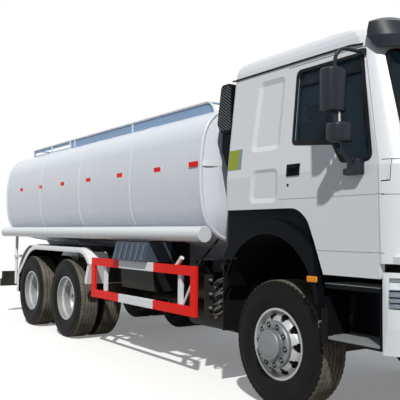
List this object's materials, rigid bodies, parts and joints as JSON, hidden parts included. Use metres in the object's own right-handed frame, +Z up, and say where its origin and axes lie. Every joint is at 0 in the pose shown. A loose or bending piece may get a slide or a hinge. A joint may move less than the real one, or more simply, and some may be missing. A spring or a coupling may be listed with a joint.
{
  "type": "tanker truck",
  "caption": "White cab-over tanker truck: rounded tank on a ladder frame, tilting cab with doors, steered front wheels and twin drive wheels.",
  "frame": {"origin": "on the ground under the middle of the truck's length and width", "axes": "+X towards the front of the truck, +Y towards its left side, +Z up"},
  "size_m": [8.89, 2.97, 3.092],
  "materials": {
    "white_paint": "gloss white paint",
    "red_white_paint": "gloss red and white paint",
    "black_plastic": "grained black plastic",
    "grey_plastic": "moulded grey plastic",
    "chassis_paint": "satin black chassis paint",
    "axle_iron": "painted cast iron",
    "wheel_paint": "silver wheel paint",
    "tyre": "dusty black rubber",
    "rubber": "black rubber",
    "glass": "tinted glass",
    "lamp_glass": "clear lamp lens",
    "aluminium": "brushed aluminium",
    "seat_fabric": "dark woven fabric",
    "engine_paint": "grey painted iron"
  },
  "bodies": {
    "chassis": {"air_tanks": "chassis_paint", "battery_box": "grey_plastic", "bumper": "white_paint", "crossmembers": "chassis_paint", "drive_axles": "axle_iron", "engine_block": "engine_paint", "frame_rails": "chassis_paint", "front_axle": "axle_iron", "front_mudflaps": "rubber", "fuel_tank": "aluminium", "headlamps": "lamp_glass", "hose_tubes": "white_paint", "leaf_springs": "chassis_paint", "manhole_collar": "white_paint", "outlet_valve": "axle_iron", "propshafts": "chassis_paint", "rear_ladder": "white_paint", "rear_mudguards": "white_paint", "rear_underrun": "red_white_paint", "side_guards": "red_white_paint", "steps": "black_plastic", "tank_saddles": "white_paint", "tank_shell": "white_paint", "tilt_brackets": "chassis_paint", "top_coaming": "white_paint", "valve_boxes": "black_plastic"},
    "cab": {"cab_shell": "white_paint", "cab_roof": "white_paint", "grille": "black_plastic", "windscreen": "glass", "dashboard": "grey_plastic", "seats": "seat_fabric", "steering_wheel": "black_plastic", "sun_visor": "black_plastic", "wheel_flares": "black_plastic", "air_intake": "black_plastic"},
    "door_right": {"door_right": "white_paint", "door_glass_right": "glass", "mirror_right": "black_plastic"},
    "door_left": {"door_left": "white_paint", "door_glass_left": "glass", "mirror_left": "black_plastic"},
    "knuckle_right": {"knuckle_right": "axle_iron"},
    "front_wheel_right": {"front_tyre_right": "tyre", "front_rim_right": "wheel_paint"},
    "mid_wheels_right": {"twin_tyres_mid_right": "tyre", "twin_rims_mid_right": "wheel_paint"},
    "rear_wheels_right": {"twin_tyres_rear_right": "tyre", "twin_rims_rear_right": "wheel_paint"},
    "knuckle_left": {"knuckle_left": "axle_iron"},
    "front_wheel_left": {"front_tyre_left": "tyre", "front_rim_left": "wheel_paint"},
    "mid_wheels_left": {"twin_tyres_mid_left": "tyre", "twin_rims_mid_left": "wheel_paint"},
    "rear_wheels_left": {"twin_tyres_rear_left": "tyre", "twin_rims_rear_left": "wheel_paint"},
    "tie_rod": {"tie_rod": "chassis_paint"},
    "manhole_lid": {"manhole_lid": "white_paint"}
  },
  "joints": [
    {"name": "cab_tilt", "type": "hinge", "parent": "chassis", "child": "cab", "pos_m": [4.3, 0, 1.1], "axis": [0, 1, 0], "range_deg": [0, 50]},
    {"name": "door_right_swing", "type": "hinge", "parent": "cab", "child": "door_right", "pos_m": [4.082, -1.233, 1.9], "axis": [0, 0, 1], "range_deg": [0, 70]},
    {"name": "door_left_swing", "type": "hinge", "parent": "cab", "child": "door_left", "pos_m": [4.082, 1.233, 1.9], "axis": [0, 0, -1], "range_deg": [0, 70]},
    {"name": "steer_left", "type": "hinge", "parent": "chassis", "child": "knuckle_left", "pos_m": [2.935, 0.92, 0.535], "axis": [0, 0, 1], "range_deg": [-34, 34]},
    {"name": "steer_right", "type": "hinge", "parent": "chassis", "child": "knuckle_right", "pos_m": [2.935, -0.92, 0.535], "axis": [0, 0, 1], "range_deg": [-34, 34]},
    {"name": "tie_rod_end", "type": "hinge", "parent": "knuckle_left", "child": "tie_rod", "pos_m": [2.645, 0.808, 0.37], "axis": [0, 0, 1], "range_deg": [-39, 39]},
    {"name": "front_wheel_left_spin", "type": "hinge", "parent": "knuckle_left", "child": "front_wheel_left", "pos_m": [2.935, 1.011, 0.535], "axis": [0, 1, 0], "continuous": true},
    {"name": "mid_wheels_left_spin", "type": "hinge", "parent": "chassis", "child": "mid_wheels_left", "pos_m": [-1.39, 0.915, 0.535], "axis": [0, 1, 0], "continuous": true},
    {"name": "rear_wheels_left_spin", "type": "hinge", "parent": "chassis", "child": "rear_wheels_left", "pos_m": [-2.74, 0.915, 0.535], "axis": [0, 1, 0], "continuous": true},
    {"name": "front_wheel_right_spin", "type": "hinge", "parent": "knuckle_right", "child": "front_wheel_right", "pos_m": [2.935, -1.011, 0.535], "axis": [0, 1, 0], "continuous": true},
    {"name": "mid_wheels_right_spin", "type": "hinge", "parent": "chassis", "child": "mid_wheels_right", "pos_m": [-1.39, -0.915, 0.535], "axis": [0, 1, 0], "continuous": true},
    {"name": "rear_wheels_right_spin", "type": "hinge", "parent": "chassis", "child": "rear_wheels_right", "pos_m": [-2.74, -0.915, 0.535], "axis": [0, 1, 0], "continuous": true},
    {"name": "manhole_lid_swing", "type": "hinge", "parent": "chassis", "child": "manhole_lid", "pos_m": [-1.33, 0, 2.957], "axis": [0, -1, 0], "range_deg": [0, 105]}
  ],
  "couplings": [
    {"joint": "steer_right", "follows": "steer_left", "ratio": 1},
    {"joint": "tie_rod_end", "follows": "steer_left", "ratio": -1.129}
  ]
}
